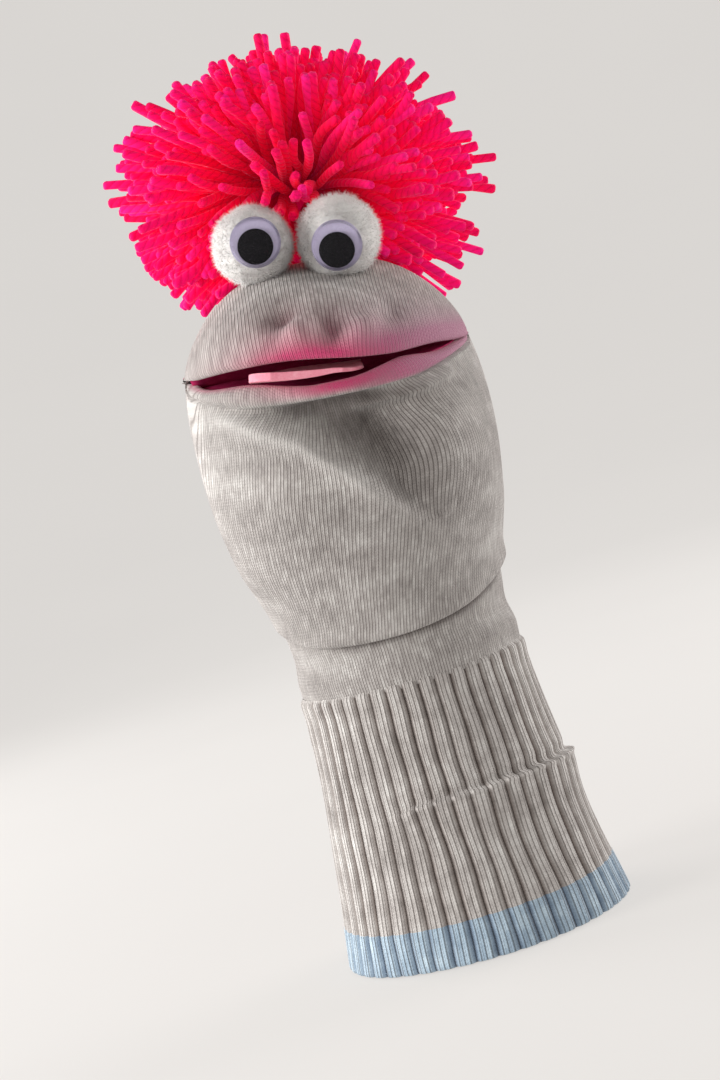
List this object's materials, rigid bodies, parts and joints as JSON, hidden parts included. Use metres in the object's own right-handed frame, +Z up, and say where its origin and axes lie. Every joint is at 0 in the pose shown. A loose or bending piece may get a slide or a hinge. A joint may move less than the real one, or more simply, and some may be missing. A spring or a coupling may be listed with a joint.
{
  "type": "sock puppet",
  "caption": "Hand puppet made from a marl crew sock, with a felt-lined talking mouth, felt tongue, yarn pom-pom hair and wiggle eyes glued on fluffy pom-poms.",
  "frame": {"origin": "centre of the arm opening, at the cuff's lower edge", "axes": "+Z up the sleeve towards the head, -Y the way the mouth opens, +X the puppet's left hand side"},
  "size_m": [0.1031, 0.1187, 0.267],
  "materials": {
    "cuff_knit": "ribbed knit, pale blue",
    "rib_knit": "ribbed marl knit, grey",
    "sock_knit": "fine marl knit, grey",
    "mouth_felt": "felt, maroon",
    "tongue_felt": "felt, light pink",
    "hair_yarn": "cut acrylic yarn, hot pink",
    "pompom_fluff": "fluffy pom-pom, off-white",
    "eye_white": "moulded plastic, white",
    "eye_clear": "clear moulded plastic, polished",
    "pupil_black": "black plastic"
  },
  "bodies": {
    "sleeve": {"cuff_band": "cuff_knit", "ribbed_leg": "rib_knit"},
    "ankle": {"ankle_section": "sock_knit"},
    "heel": {"heel_pouch": "sock_knit"},
    "head": {"throat_bag": "sock_knit", "crown": "sock_knit", "upper_mouth_lining": "mouth_felt", "hair_tie": "hair_yarn", "hair_tuft_left": "hair_yarn", "hair_tuft_right": "hair_yarn", "eye_pompom_left": "pompom_fluff", "eye_pompom_right": "pompom_fluff", "eye_back_left": "eye_white", "eye_back_right": "eye_white", "eye_dome_left": "eye_clear", "eye_dome_right": "eye_clear"},
    "lower_jaw": {"chin_pocket": "sock_knit", "lower_mouth_lining": "mouth_felt", "tongue": "tongue_felt"},
    "pupil_left": {"pupil_left": "pupil_black"},
    "pupil_right": {"pupil_right": "pupil_black"}
  },
  "joints": [
    {"name": "head_turn", "type": "hinge", "parent": "sleeve", "child": "ankle", "pos_m": [0, 0, 0.096], "axis": [0, 0, 1], "range_deg": [-30, 30]},
    {"name": "head_tilt", "type": "hinge", "parent": "ankle", "child": "heel", "pos_m": [0, 0, 0.096], "axis": [0, 1, 0], "range_deg": [-15, 15]},
    {"name": "head_nod", "type": "hinge", "parent": "heel", "child": "head", "pos_m": [0, 0, 0.096], "axis": [1, 0, 0], "range_deg": [-20, 20]},
    {"name": "jaw_open", "type": "hinge", "parent": "head", "child": "lower_jaw", "pos_m": [0.0017, -0.024, 0.1721], "axis": [0.996, 0, -0.0889], "range_deg": [-3, 25]},
    {"name": "pupil_roll_left", "type": "hinge", "parent": "head", "child": "pupil_left", "pos_m": [-0.00787, -0.04525, 0.20882], "axis": [0.0523, -0.9985, -0.0175], "continuous": true},
    {"name": "pupil_roll_right", "type": "hinge", "parent": "head", "child": "pupil_right", "pos_m": [0.0134, -0.04534, 0.20184], "axis": [-0.0698, -0.9823, -0.1736], "continuous": true}
  ]
}
